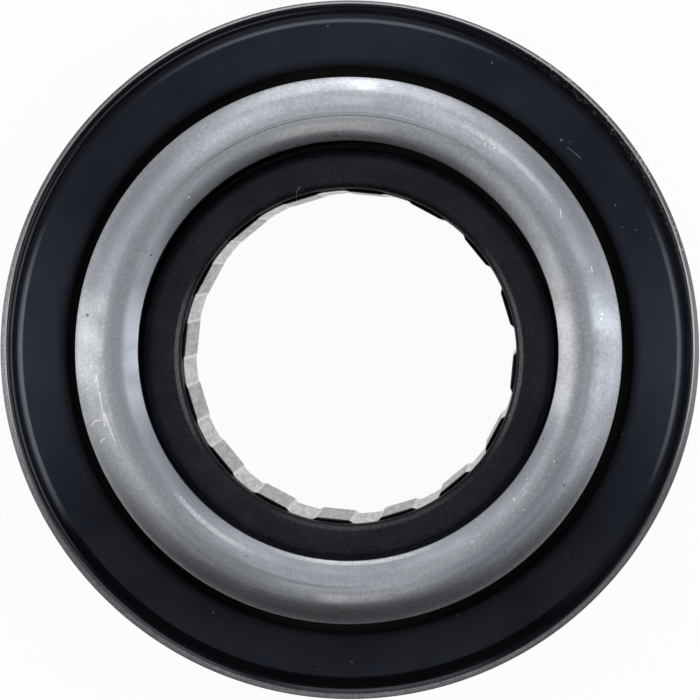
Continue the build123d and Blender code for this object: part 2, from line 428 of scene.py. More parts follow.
noseLook = {
    "boreRadius": 23.3, "lipRadius": 22.45, "lipUnderside": 31.4, "lipRoot": 0.8, "lipEdge": 0.15,
    "apexRadius": 25.3, "crownRadius": 5.15, "underside": 29.2, "shoulderRadius": 26.94,
    "reliefRadius": 24.81, "ballPlane": 17.0, "pitchRadius": 28.62, "raceRadius": 4.049,
    "innerEdge": 0.12, "outerEdge": 0.1, "neck": 0.8, "steps": 576,
    # Nicks on the outer edge: how far they stand up, how wide, and the direction and reach of each
    "burrHeight": 0.18, "burrBand": 0.35, "burrArcs": ((89, 7), (40, 5), (301, 4)),
    "colour": (0.555, 0.585, 0.64, 1), "shadeColour": (0.415, 0.44, 0.485, 1),
    "innerColour": (0.33, 0.35, 0.385, 1), "dullColour": (0.23, 0.25, 0.29, 1),
    "lineColour": (0.19, 0.2, 0.215, 1), "fleckColour": (0.95, 0.95, 0.95, 1),
    "roughness": (0.43, 0.33), "darkRoughness": 0.2, "bumpHeight": 0.006, "pitDepth": 1.5,
    "lines": {"pitch": 0.13, "drift": 0.5}, "cloud": {"grainSize": 0.35, "blotchSize": 4.5},
    # Painted glints: bright flecks in the glint patches, and a few strewn over the whole crown
    "flecks": {"spacing": 0.5, "size": 0.14, "share": 0.4},
    "strayFlecks": {"spacing": 1.6, "size": 0.1, "share": 0.25},
    # The crown's inner half is darker except towards one side: direction and reach, and the darker band
    "brightSide": (50, 92), "dullInside": 2.2,
    # Each arc below: direction, reach, radius, width and strength
    "contactLines": (  # dark, rubbed by the clutch's fingers
        (96, 50, 25.14, 0.13, 0.85), (98, 44, 25.42, 0.12, 0.55), (256, 26, 25.3, 0.26, 0.6),
    ),
    "rubbedPatches": (  # painted highlights: lighter bands where the crown catches the lamps
        (95, 19, 24.0, 0.7, 0.65), (272, 26, 22.75, 0.25, 0.6), (271, 11, 26.5, 0.6, 0.5),
        (3, 24, 23.7, 1.4, 0.3), (50, 17, 27.0, 0.4, 0.4), (232, 15, 23.9, 0.34, 0.5),
    ),
    "dullPatches": (  # painted shade: darker zones where the crown reflects less light
        (30, 26, 27.3, 2.2, 0.5), (150, 26, 27.1, 2.2, 0.5), (238, 22, 26.1, 1.0, 0.6),
        (314, 32, 26.2, 1.1, 0.6), (214, 26, 23.4, 1.5, 0.6), (332, 16, 22.9, 1.0, 0.4),
    ),
    "fleckPatches": (  # painted glints: strewn with bright flecks where the crown catches the lamps
        (58, 13, 27.0, 0.8, 1.0), (277, 14, 26.4, 0.5, 1.0), (305, 26, 23.8, 0.7, 1.0),
        (188, 20, 27.6, 1.1, 1.0), (280, 11, 22.7, 0.25, 1.0), (232, 17, 23.9, 0.4, 1.0),
        (12, 10, 27.3, 0.7, 1.0),
    ),
    "pixelCentre": (347.9, 349.5), "pixelSize": 0.10675,
    # Marks by their pixels in the photograph: spots with a size, lines with a width in millimetres
    "pits": (
        (87, 314, 0.2), (138, 249, 0.12), (151, 254, 0.17), (143, 210, 0.1), (564, 484, 0.17),
        (574, 482, 0.1), (557, 461, 0.12), (543, 438, 0.15), (505, 551, 0.14), (246, 555, 0.14),
        (524, 469, 0.1), (252, 588, 267, 593, 0.07), (341, 611, 347, 614, 0.08),
        (349, 134, 351, 137, 0.07), (331, 135, 341, 136, 0.1), (335, 132, 338, 135, 0.09),
        (322, 138, 326, 137, 0.07), (311, 141, 315, 141, 0.07), (295, 144, 301, 144, 0.09),
        (269, 153, 280, 150, 0.1),
    ),
    # Painted glints: bright spots and scratch lines painted near white
    "glints": (
        (189, 196, 0.17), (554, 460, 0.16), (514, 498, 0.16), (523, 508, 0.12), (485, 143, 0.14),
        (494, 147, 0.16), (472, 540, 0.14), (96, 374, 98, 386, 0.07), (99, 391, 101, 402, 0.08),
        (101, 402, 105, 425, 0.07), (560, 208, 561, 216, 0.06), (591, 266, 592, 271, 0.06),
        (104, 412, 107, 420, 0.12), (107, 421, 115, 440, 0.07), (91, 424, 94, 420, 0.11),
        (94, 420, 100, 419, 0.09), (100, 441, 104, 437, 0.12), (94, 374, 95, 381, 0.07),
        (361, 85, 365, 86, 0.3),
    ),
}


def noseMaterial(look):
    material, tree, shader, place = startMaterial(
        "noseSteel", bearingAxis, Metallic=1.0, Anisotropic=0.6,
    )
    at, lines, cloud = turnedPatterns(tree, place, look)
    shade = mixOf(tree, cloud["Blotch"], lines, 0.5)
    colour = blendColour(tree, ramp(tree, shade, 0.34, 0.6), look["shadeColour"], look["colour"])
    colour = blendColour(tree, ramp(tree, cloud["Grain"], 0.4, 0.7, 0, 0.28), colour, look["fleckColour"])
    apex = look["apexRadius"]
    dull = ramp(tree, at["Radius"], apex - look["dullInside"], apex + 0.1, 0.6, 0.0)
    dull = times(tree, dull, outsideOf(tree, arcMask(tree, at, *look["brightSide"])))
    colour = blendColour(tree, dull, colour, look["innerColour"])
    # Painted shade: zones of the crown painted darker where it reflects less light
    colour = blendColour(tree, arcBands(tree, at, look["dullPatches"]), colour, look["dullColour"])
    # Painted highlight: the crown is painted lighter in bands where it catches the lamps
    paintedHighlight = arcBands(tree, at, look["rubbedPatches"])
    paintedHighlight = times(tree, paintedHighlight, ramp(tree, cloud["Grain"], 0.3, 0.6, 0.6, 1.0))
    colour = blendColour(tree, paintedHighlight, colour, look["fleckColour"])
    # Painted glints: flecks and marks painted near white
    bright = highest(tree, [
        times(tree, specksMask(tree, place, look["flecks"]), arcBands(tree, at, look["fleckPatches"])),
        times(tree, specksMask(tree, place, look["strayFlecks"]), 0.5),
        marksMask(tree, look, place, look["glints"]),
    ])
    colour = blendColour(tree, bright, colour, look["fleckColour"])
    rubbed = arcBands(tree, at, look["contactLines"])
    rubbed = times(tree, rubbed, ramp(tree, cloud["Grain"], 0.35, 0.6, 0.5, 1.0))
    pits = marksMask(tree, look, place, look["pits"])
    dark = calc(tree, "MAXIMUM", rubbed, pits)
    feed(tree, shader["Base Color"], blendColour(tree, dark, colour, look["lineColour"]))

    rough = ramp(tree, cloud["Blotch"], 0.35, 0.65, *look["roughness"])
    rough = calc(tree, "ADD", rough, times(tree, dark, look["darkRoughness"]))
    feed(tree, shader["Roughness"], rough)
    # The bright flecks stay out of the bump: its height is worked out three times, and a material
    # holds only so many values
    height = calc(tree, "SUBTRACT", lines, times(tree, pits, look["pitDepth"]))
    addBump(tree, shader, height, look["bumpHeight"])
    return material


def chord(radius, offset):
    return math.sqrt(radius ** 2 - offset ** 2)


def roundCentre(circleCentre, circleRadius, centreRadius, rounding):
    # Centre of a round that touches the crown from inside and a straight wall beside it
    rise = chord(circleRadius - rounding, centreRadius - circleCentre[0])
    return centreRadius, circleCentre[1] + rise


def leavePoint(circleCentre, smallCentre, circleRadius):
    outward = Vector(smallCentre) - Vector(circleCentre)
    return tuple(Vector(circleCentre) + outward.normalized() * circleRadius)


def raiseBurrs(bm, look):
    # Small raised nicks along the crown's outer edge, in the few places that took knocks
    for vert in bm.verts:
        arm = vert.co / mm - bearingAxis
        if arm.xy.length < noseRadius - look["burrBand"] or arm.z < look["underside"] + 1:
            continue
        turn = math.degrees(math.atan2(arm.y, arm.x))
        near = max(
            1 - abs((turn - centre + 180) % 360 - 180) / reach for centre, reach in look["burrArcs"]
        )
        bite = noise.noise(Vector((turn * 1.7, 0, 0)))
        vert.co.z += max(near, 0) * max(bite, 0) * look["burrHeight"] * mm


def makeNose(look):
    bm = bmesh.new()
    bore, lip, lipUnderside = look["boreRadius"], look["lipRadius"], look["lipUnderside"]
    crown, shoulder, relief = look["crownRadius"], look["shoulderRadius"], look["reliefRadius"]
    inner, outer, neck, underside = look["innerEdge"], look["outerEdge"], look["neck"], look["underside"]
    pitch, plane, race = look["pitchRadius"], look["ballPlane"], look["raceRadius"]
    crownCentre = (look["apexRadius"], noseTop - crown)
    innerCentre = roundCentre(crownCentre, crown, lip + inner, inner)
    outerCentre = roundCentre(crownCentre, crown, noseRadius - outer, outer)
    neckCentre = (shoulder + neck, underside - neck)
    drawSection(
        bm,
        (bore, ringRear),
        (bore, lipUnderside),
        (lip, lipUnderside),
        (lip, innerCentre[1]),
        (*leavePoint(crownCentre, innerCentre, crown), *innerCentre, 6),
        (*leavePoint(crownCentre, outerCentre, crown), *crownCentre, 36),
        (noseRadius, outerCentre[1], *outerCentre, 5),
        (noseRadius, underside),
        (neckCentre[0], underside),
        (shoulder, neckCentre[1], *neckCentre, 6),
        (shoulder, plane + chord(race, pitch - shoulder)),
        (relief, plane - chord(race, pitch - relief), pitch, plane, 16),
        (relief, ringRear),
    )
    roundCorners(
        bm,
        (bore, lipUnderside, look["lipRoot"], 6),
        (lip, lipUnderside, look["lipEdge"], 3),
    )
    spinSection(bm, bearingAxis, look["steps"])
    raiseBurrs(bm, look)
    return finishPiece(bm, "noseRing", "nose", noseMaterial(look), "inner_ring")


# Casing: drawn cup with a staked front edge and a bare trimmed rim

casingLook = {
    "floorBore": 24.0, "wall": 1.2, "bend": 3.0, "innerBend": 1.8, "floorRound": 0.2, "steps": 512,
    "landWidth": 0.6, "landDrop": 0.03, "landBreak": 0.13, "landBreakDrop": 0.08, "landRound": 0.08,
    "stakeReach": 0.15, "stakeDepth": 0.85, "stakeStep": 0.3, "stakeRound": 0.1,
    "beadHeight": 0.045, "beadWidth": 0.05, "beadDrop": 0.2, "beadRound": 0.03,
    "colour": (0.003, 0.0033, 0.0045, 1), "beadColour": (0.3, 0.31, 0.33, 1),
    "steel": (0.43, 0.44, 0.47, 1), "darkSteel": (0.19, 0.195, 0.21, 1),
    "edgeSteel": (0.85, 0.86, 0.88, 1), "chipColour": (0.8, 0.8, 0.79, 1),
    "roughness": (0.25, 0.35), "rimRoughness": 0.4, "bumpHeight": 0.008,
    "lines": {"pitch": 0.1, "drift": 0.6}, "cloud": {"grainSize": 0.22, "blotchSize": 5.0},
    # The bare land is narrower at the back, so the painted highlight on its inner edge is a little off
    # centre
    "landShift": 0.3, "edgeWidth": 0.11,
    # Painted highlights on the staked edge's beads, where they catch the side lamps: direction, reach,
    # radius, width and strength
    "beadArcs": (
        (0, 45, 36.88, 0.12, 0.4), (180, 45, 36.48, 0.14, 0.45), (180, 40, 36.85, 0.1, 0.4),
        (120, 30, 36.62, 0.08, 0.4), (232, 26, 36.85, 0.22, 0.5), (275, 24, 36.72, 0.24, 0.35),
    ),
    # Paint chipped off beside the rim: direction, reach, distance from the rim, width and strength
    "wornArcs": ((38, 27, -0.6, 0.9, 1.0),), "chipShare": 0.06,
    "flecks": {"spacing": 0.36, "size": 0.24, "share": 0.5},
    "pixelCentre": (349.5, 349.5), "pixelSize": 0.10774,
    "chips": (
        (552, 69, 0.16), (586, 97, 0.1), (589, 100, 0.12), (608, 121, 0.1), (18, 318, 0.12),
        (612, 130, 0.1),
    ),
}


def casingMaterial(look):
    material, tree, shader, place = startMaterial(
        "blackCasing", bearingAxis, Anisotropic=0.9, Anisotropic_Rotation=0.25,
        Specular_IOR_Level=0.45, Specular_Tint=(0.75, 0.84, 1.0, 1),
    )
    at, lines, cloud = turnedPatterns(tree, place, look)

    def above(depth, clear):
        # 0 below a depth under the rim, 1 from a lesser depth up
        return ramp(tree, at["Height"], rimHeight - depth, rimHeight - clear)

    # Bare steel on the trimmed land
    landEdge = casingRadius - look["landWidth"]
    shift = times(tree, calc(tree, "SINE", at["Angle"]), look["landShift"])
    fromEdge = calc(tree, "SUBTRACT", at["Radius"], shift)
    bare = times(
        tree, ramp(tree, fromEdge, landEdge - 0.04, landEdge),
        ramp(tree, at["Radius"], casingRadius - 0.015, casingRadius - 0.06), above(0.3, 0.15),
    )
    shade = mixOf(tree, lines, cloud["Grain"], 0.5)
    steel = blendColour(tree, ramp(tree, shade, 0.35, 0.65), look["steel"], look["darkSteel"])
    # It is darker towards +X, and its inner edge carries a painted highlight, weakest towards -X
    side = calc(tree, "COSINE", at["Angle"])
    steel = blendColour(tree, ramp(tree, side, 0.8, 0.96, 0.0, 0.8), steel, look["darkSteel"])
    edgeStart = landEdge + look["edgeWidth"]
    edge = ramp(tree, fromEdge, edgeStart + 0.06, edgeStart)
    edge = times(tree, edge, ramp(tree, side, -0.9, -0.4, 0.35, 0.75))
    steel = blendColour(tree, edge, steel, look["edgeSteel"])

    flecks = specksMask(tree, place, look["flecks"])
    wearAndHighlight = times(tree, flecks, arcBands(tree, at, look["wornArcs"], casingRadius))
    chipped = times(tree, wearAndHighlight, look["chipShare"], above(1.2, 0.5))
    chips = times(tree, marksMask(tree, look, place, look["chips"]), above(0.9, 0.5))
    bareAll = highest(tree, [bare, chipped, chips])
    # Painted highlight: light grey metal painted along the beads
    beadHighlights = arcBands(tree, at, look["beadArcs"])
    beadHighlights = times(tree, beadHighlights, ramp(tree, lines, 0.35, 0.6, 0.6, 1.0), above(1.0, 0.8))
    colour = blendColour(tree, beadHighlights, look["colour"], look["beadColour"])
    colour = blendColour(tree, bareAll, colour, steel)
    fresh = calc(tree, "MAXIMUM", chips, times(tree, wearAndHighlight, bare))
    feed(tree, shader["Base Color"], blendColour(tree, fresh, colour, look["chipColour"]))
    feed(tree, shader["Metallic"], calc(tree, "MAXIMUM", bareAll, beadHighlights))
    rough = ramp(tree, cloud["Blotch"], 0.3, 0.7, *look["roughness"])
    feed(tree, shader["Roughness"], ramp(tree, bareAll, 0, 1, rough, look["rimRoughness"]))
    height = calc(tree, "ADD", times(tree, lines, bare), times(tree, cloud["Grain"], 0.6))
    addBump(tree, shader, height, look["bumpHeight"])
    return material


def makeCasing(look):
    bm = bmesh.new()
    inside, bore = casingRadius - look["wall"], look["floorBore"]
    floorTop = casingFloor + look["wall"]
    land = casingRadius - look["landWidth"]
    tip = inside - look["stakeReach"]
    stepHeight = rimHeight - look["stakeStep"]
    tipHeight = rimHeight - look["stakeDepth"]
    middle, middleHeight = (tip + land) / 2, stepHeight - look["beadDrop"]
    rise, reach = look["beadHeight"], look["beadWidth"]
    clampTop = shieldLook["flange"]
    landHeight, landBreak = rimHeight - look["landDrop"], land + look["landBreak"]
    drawSection(
        bm,
        (bore, casingFloor),
        (casingRadius, casingFloor),
        (casingRadius, landHeight),
        (landBreak, rimHeight),
        (land, rimHeight - look["landBreakDrop"]),
        (land - reach, stepHeight),
        (land - 2 * reach, stepHeight + rise),
        (land - 3 * reach, stepHeight - rise),
        (middle + reach, middleHeight),
        (middle, middleHeight + rise),
        (middle - reach, middleHeight - rise),
        (tip, tipHeight),
        (tip, clampTop),
        (inside, clampTop),
        (inside, floorTop),
        (bore, floorTop),
    )
    roundCorners(
        bm,
        (casingRadius, casingFloor, look["bend"], 12),
        (inside, floorTop, look["innerBend"], 8),
        (bore, casingFloor, look["floorRound"], 3),
        (bore, floorTop, look["floorRound"], 3),
        (casingRadius, landHeight, look["landRound"], 4),
        (landBreak, rimHeight, look["beadRound"], 3),
        (land - 2 * reach, stepHeight + rise, look["beadRound"], 3),
        (middle, middleHeight + rise, look["beadRound"], 3),
        (tip, tipHeight, look["stakeRound"], 4),
    )
    spinSection(bm, bearingAxis, look["steps"])
    return finishPiece(bm, "casingShell", "bearing", casingMaterial(look), "casing")


# Shield: pressed sheet ring with a clamped edge, a step and an inner edge turned down

shieldLook = {
    "flange": 26.5, "flangeThickness": 0.6, "thickness": 0.7, "stepOuter": 35.98, "stepInner": 35.45,
    "rollStart": 34.3, "rollDrop": 0.12, "rollRound": 0.7, "boreRadius": 30.6, "boreRound": 0.95,
    "bendRound": 0.35, "stepRound": 0.2, "steps": 512,
    "colour": (0.0034, 0.0038, 0.0055, 1), "paleColour": (0.0074, 0.008, 0.0105, 1),
    "grooveColour": (0.002, 0.002, 0.002, 1), "wornColour": (0.28, 0.305, 0.35, 1),
    "dustColour": (0.29, 0.29, 0.3, 1), "roughness": 0.5, "grooveRoughness": 0.75, "bumpHeight": 0.011,
    "lines": {"pitch": 0.14, "drift": 0.4}, "cloud": {"grainSize": 0.18, "blotchSize": 7.0},
    # Painted highlight along the bend, where it catches the lamps: direction, reach, distance outside the
    # bend, width and strength
    "wornArcs": (
        (0, 27, 0.1, 0.42, 0.4), (188, 33, 0.13, 0.44, 0.72), (93, 34, 0.06, 0.3, 0.44),
        (95, 38, 0.45, 0.8, 0.28),
    ),
    # Painted shade: the side where the bend and the groove are painted black: direction, reach and
    # distance inside the bend
    "darkSide": (260, 64), "darkInside": 0.3,
    "looseDust": {"spacing": 3.2, "size": 0.12, "share": 0.2},
    "pixelCentre": (349.5, 349.5), "pixelSize": 0.10774,
    "dust": (
        (492, 63, 0.14), (514, 116, 0.13), (561, 140, 0.2), (570, 142, 0.1), (615, 205, 0.14),
        (636, 230, 0.12), (622, 227, 0.1), (622, 434, 0.15), (213, 612, 0.12), (352, 661, 0.12),
        (318, 669, 0.1), (328, 26, 0.14), (568, 554, 0.1), (457, 615, 0.12),
        (567, 147, 576, 154, 0.05), (576, 154, 580, 158, 0.08),
    ),
}


def shieldMaterial(look):
    material, tree, shader, place = startMaterial(
        "navyShield", bearingAxis, Anisotropic=1.0, Anisotropic_Rotation=0.25,
        Specular_IOR_Level=0.6, Specular_Tint=(0.64, 0.73, 1.0, 1),
    )
    at, lines, cloud = turnedPatterns(tree, place, look)
    pale = ramp(tree, cloud["Blotch"], 0.35, 0.65)
    colour = blendColour(tree, pale, look["colour"], look["paleColour"])
    # Painted highlight: the bend is painted pale metal where it catches the lamps
    wearAndHighlight = arcBands(tree, at, look["wornArcs"], look["stepInner"])
    wearAndHighlight = times(tree, wearAndHighlight, ramp(tree, cloud["Grain"], 0.3, 0.6, 0.75, 1.0))
    colour = blendColour(tree, wearAndHighlight, colour, look["wornColour"])
    settled = times(tree, marksMask(tree, look, place, look["dust"]), 0.4)
    loose = times(tree, specksMask(tree, place, look["looseDust"]), 0.25)
    colour = blendColour(tree, calc(tree, "MAXIMUM", loose, settled), colour, look["dustColour"])
    # Painted shade: the groove beside the casing is painted black, and so is the bend on its unlit side
    groove = times(
        tree, ramp(tree, at["Height"], shieldTop - 0.25, shieldTop - 0.55),
        ramp(tree, at["Radius"], look["stepInner"], look["stepInner"] + 0.1), outsideOf(tree, wearAndHighlight),
    )
    bendStart = look["stepInner"] - look["darkInside"]
    black = times(
        tree, ramp(tree, at["Radius"], bendStart, bendStart + 0.2),
        ramp(tree, arcMask(tree, at, *look["darkSide"]), 0.0, 0.5),
    )
    groove = calc(tree, "MAXIMUM", groove, black)
    feed(tree, shader["Base Color"], blendColour(tree, groove, colour, look["grooveColour"]))
    rough = ramp(tree, groove, 0, 1, look["roughness"], look["grooveRoughness"])
    feed(tree, shader["Roughness"], rough)
    metal = calc(tree, "MAXIMUM", times(tree, wearAndHighlight, 0.8), times(tree, black, 0.7))
    feed(tree, shader["Metallic"], metal)
    height = calc(tree, "ADD", lines, times(tree, cloud["Grain"], 1.6))
    addBump(tree, shader, height, look["bumpHeight"])
    return material


def makeShield(look):
    bm = bmesh.new()
    thick, flange, bore = look["thickness"], look["flange"], look["boreRadius"]
    stepOuter, stepInner, rollStart = look["stepOuter"], look["stepInner"], look["rollStart"]
    flangeBottom = flange - look["flangeThickness"]
    inside, bendHeight = shieldTop - thick, shieldTop - look["rollDrop"]
    drawSection(
        bm,
        (shieldEdge, flangeBottom),
        (shieldEdge, flange),
        (stepOuter, flange),
        (stepInner, bendHeight),
        (rollStart, shieldTop),
        (bore, shieldTop),
        (bore, shieldSkirtEnd),
        (bore + thick, shieldSkirtEnd),
        (bore + thick, inside),
        (stepInner - thick / 2, inside),
        (stepOuter - thick / 2, flangeBottom),
    )
    roundCorners(
        bm,
        (bore, shieldTop, look["boreRound"], 8),
        (rollStart, shieldTop, look["rollRound"], 8),
        (stepInner, bendHeight, look["bendRound"], 6),
        (stepOuter, flange, look["stepRound"], 4),
    )
    spinSection(bm, bearingAxis, look["steps"])
    return finishPiece(bm, "shieldRing", "bearing", shieldMaterial(look), "front_shield")


# Guide sleeve: moulded black plastic with a ribbed bore

sleeveLook = {
    "ribTip": 17.55, "ribHeight": 0.42, "ribCount": 16, "ribPhase": 16.9, "ribEnd": 28.9,
    "stepsPerRib": 40, "tipSteps": 10, "flankSteps": 3, "runOut": (0, 0.03, 0.1, 0.25),
    "wallRadius": 20.9, "frontRadius": 22.3, "frontDepth": 2.4, "frontTaper": 1.15, "innerRound": 0.93,
    "outerRound": 1.2, "snapGroove": 0.8, "plateBore": 21.4, "plateThickness": 2.0, "flangeTop": 5.0,
    "flangeRadius": 31.0, "flangeFlat": 27.0, "flangeRound": 0.6, "tabWidth": 8.0, "tabThickness": 1.6,
    # The grooves are deeper on one side: mean share of the rib's height, swing and direction
    "grooveShare": 0.75, "grooveSwing": 0.4, "grooveSide": -40,
    "colour": (0.001, 0.0013, 0.0026, 1), "paleColour": (0.0105, 0.0112, 0.0158, 1),
    "boreColour": (0.03, 0.031, 0.033, 1), "edgeColour": (0.13, 0.135, 0.15, 1),
    "scuffColour": (0.85, 0.85, 0.85, 1), "ribFrontColour": (0.003, 0.003, 0.0035, 1),
    "dustColour": (0.04, 0.042, 0.048, 1), "fibreColour": (0.14, 0.14, 0.135, 1),
    "roughness": 0.42, "boreRoughness": (0.16, 0.24), "ribRoughness": 0.07, "edgePolish": 0.12,
    "bumpHeight": 0.05, "bumpStrength": 0.9,
    "surface": {"grainSize": 0.16, "blotchSize": 5.0},
    "dust": {"spacing": 0.9, "size": 0.12, "share": 0.3},
    "streaks": (2.0, 2.0, 0.12), "streakDepth": 0.12,
    "ribHalf": 0.256,  # half a rib's width as a share of the ribs' spacing
    # Painted highlight on the inner edge's round: direction, reach, distance outside the grooves, width
    # and strength
    "edgeArcs": ((2, 42, 0.53, 0.32, 0.85), (183, 32, 0.53, 0.32, 0.75), (278, 42, 0.53, 0.32, 0.3)),
    "pixelCentre": (348.9, 355.3), "pixelSize": 0.1072,
    "fibre": ((300, 186, 297, 191, 0.045), (297, 191, 296, 199, 0.045)),
}


def sleeveMaterial(look):
    material, tree, shader, place = startMaterial(
        "sleevePlastic", sleeveAxis, Specular_IOR_Level=0.3, Specular_Tint=(0.85, 0.9, 1.0, 1),
    )
    at = useGroup(tree, ringPlace, place=place)
    surface = useGroup(tree, grain, place=place, **look["surface"])
    shade = mixOf(tree, surface["Blotch"], surface["Grain"], 0.35)
    colour = blendColour(tree, ramp(tree, shade, 0.42, 0.62), look["colour"], look["paleColour"])

    # The bore is rubbed smooth by the guide tube, with fine streaks along it
    root = look["ribTip"] + look["ribHeight"]
    ribEnd, ribHalf = look["ribEnd"], look["ribHalf"]
    bore = ramp(tree, at["Radius"], root + 0.12, root + 0.04)
    bore = times(tree, bore, ramp(tree, at["Height"], ribEnd + 0.1, ribEnd))
    streaks = noiseValue(tree, calcVector(tree, "MULTIPLY", place, look["streaks"]), 1.0, 3.0, 0.55)
    colour = blendColour(tree, bore, colour, look["boreColour"])
    # Ribs, with painted highlights on their flanks and painted shade on their front ends
    turn = calc(tree, "SUBTRACT", at["Angle"], math.radians(look["ribPhase"]))
    turn = calc(tree, "DIVIDE", turn, 2 * math.pi / look["ribCount"])
    turn = calc(tree, "SUBTRACT", calc(tree, "FRACT", calc(tree, "ADD", turn, 0.5)), 0.5)
    offset = calc(tree, "ABSOLUTE", turn)
    front = ramp(tree, at["Height"], ribEnd - 0.12, ribEnd - 0.06)
    flankHighlight = times(
        tree, ramp(tree, offset, ribHalf - 0.005, ribHalf + 0.01),
        ramp(tree, offset, ribHalf + 0.055, ribHalf + 0.04),
        bore, outsideOf(tree, front), ramp(tree, streaks, 0.35, 0.6, 0.3, 1.0),
    )
    colour = blendColour(tree, flankHighlight, colour, look["scuffColour"])
    # Painted shade: the ribs' front ends are painted black metal, which reflects almost nothing
    ribFrontShade = times(tree, front, bore, ramp(tree, offset, ribHalf + 0.07, ribHalf + 0.04))
    colour = blendColour(tree, ribFrontShade, colour, look["ribFrontColour"])
    feed(tree, shader["Metallic"], ribFrontShade)

    # Painted highlight: the inner edge's round is painted lighter where it catches the side lamps
    edge = times(
        tree, arcBands(tree, at, look["edgeArcs"], root),
        ramp(tree, at["Height"], sleeveTop - 0.9, sleeveTop - 0.5),
        ramp(tree, surface["Grain"], 0.38, 0.62, 0.35, 1.0),
    )
    colour = blendColour(tree, edge, colour, look["edgeColour"])
    dust = times(tree, specksMask(tree, place, look["dust"]), 0.5, outsideOf(tree, bore))
    colour = blendColour(tree, dust, colour, look["dustColour"])
    fibre = marksMask(tree, look, place, look["fibre"])
    fibre = times(tree, fibre, ramp(tree, at["Height"], sleeveTop - 1.5, sleeveTop - 1.2))
    feed(tree, shader["Base Color"], blendColour(tree, fibre, colour, look["fibreColour"]))

    smooth = ramp(tree, streaks, 0.35, 0.65, *look["boreRoughness"])
    onRib = ramp(tree, offset, ribHalf + 0.015, ribHalf)
    smooth = calc(tree, "ADD", smooth, times(tree, onRib, look["ribRoughness"]))
    rough = ramp(tree, bore, 0, 1, look["roughness"], smooth)
    rough = calc(tree, "SUBTRACT", rough, times(tree, edge, look["edgePolish"]))
    feed(tree, shader["Roughness"], rough)
    moulded = times(tree, surface["Grain"], outsideOf(tree, bore))
    height = calc(tree, "ADD", moulded, times(tree, streaks, bore, look["streakDepth"]))
    addBump(tree, shader, height, look["bumpHeight"], look["bumpStrength"])
    return material


def makeSleeve(look):
    bm = bmesh.new()
    root = look["ribTip"] + look["ribHeight"]
    wall, groove = look["wallRadius"], look["wallRadius"] - look["snapGroove"]
    front, frontRear = look["frontRadius"], sleeveTop - look["frontDepth"]
    flange, flangeTop = look["flangeRadius"], look["flangeTop"]
    plateBore, plateTop = look["plateBore"], look["plateThickness"]
    drawSection(
        bm,
        (root, 0),
        (plateBore, 0),
        (plateBore, plateTop),
        (flange, plateTop),
        (flange, flangeTop),
        (wall, flangeTop),
        (wall, snapRear),
        (groove, snapRear),
        (groove, snapFront),
        (wall, snapFront),
        (wall, frontRear - look["frontTaper"]),
        (front, frontRear),
        (front, sleeveTop),
        (root, sleeveTop),
        *((root, look["ribEnd"] - drop) for drop in look["runOut"]),
    )
    roundCorners(
        bm,
        (root, sleeveTop, look["innerRound"], 10),
        (front, sleeveTop, look["outerRound"], 6),
        (flange, flangeTop, look["flangeRound"], 5),
    )
    spinSection(bm, sleeveAxis, look["ribCount"] * look["stepsPerRib"], math.radians(look["ribPhase"]))
    trimFlange(bm, look)
    shapeRibs(bm, look, root)
    material = sleeveMaterial(look)
    return finishPiece(bm, "sleeveBody", "sleeve", material, "guide_sleeve", 50)


def trimFlange(bm, look):
    # Two flats across Y, and a notch on either side for the plate's bent tabs
    wide, flat, half = look["flangeRadius"] + 1, look["flangeFlat"], look["tabWidth"] / 2
    notch = tabReach - look["tabThickness"]
    low, high = look["plateThickness"] - 1, look["flangeTop"] + 1
    cutBoxes(bm, [
        ((-wide, flat, low), (wide, wide, high)),
        ((-wide, -wide, low), (wide, -flat, high)),
        ((notch, -half, low), (wide, half, high)),
        ((-wide, -half, low), (-notch, half, high)),
    ])


def shapeRibs(bm, look, root):
    # Moves the bore's wall inwards where a rib stands on it; rib tips are flat, and their front ends
    # run out in a quarter round
    stepAngle = 2 * math.pi / (look["ribCount"] * look["stepsPerRib"])
    phase, side = math.radians(look["ribPhase"]), math.radians(look["grooveSide"])
    for vert in bm.verts:
        radius = vert.co.xy.length / mm
        if abs(radius - root) > 0.01 or vert.co.z / mm > look["ribEnd"] - 0.01:
            continue
        angle = math.atan2(vert.co.y, vert.co.x)
        step = (angle - phase) / stepAngle
        offset = abs((step + look["stepsPerRib"] / 2) % look["stepsPerRib"] - look["stepsPerRib"] / 2)
        past = min(max((offset - look["tipSteps"]) / look["flankSteps"], 0), 1)
        share = 1 - past * past * (3 - 2 * past)
        drop = min((look["ribEnd"] - vert.co.z / mm) / look["runOut"][-1], 1)
        runOut = math.sqrt(1 - (1 - drop) ** 2)
        depth = look["grooveShare"] + look["grooveSwing"] * math.cos(angle - side)
        groove = look["ribTip"] + look["ribHeight"] * min(depth, 1)
        tip = look["ribTip"] / math.cos(min(offset, look["tipSteps"]) * stepAngle)
        wall = groove + (tip - groove) * share
        scale = (root + (wall - root) * runOut) / radius
        vert.co.x *= scale
        vert.co.y *= scale


# Materials of the pieces that keep their solids

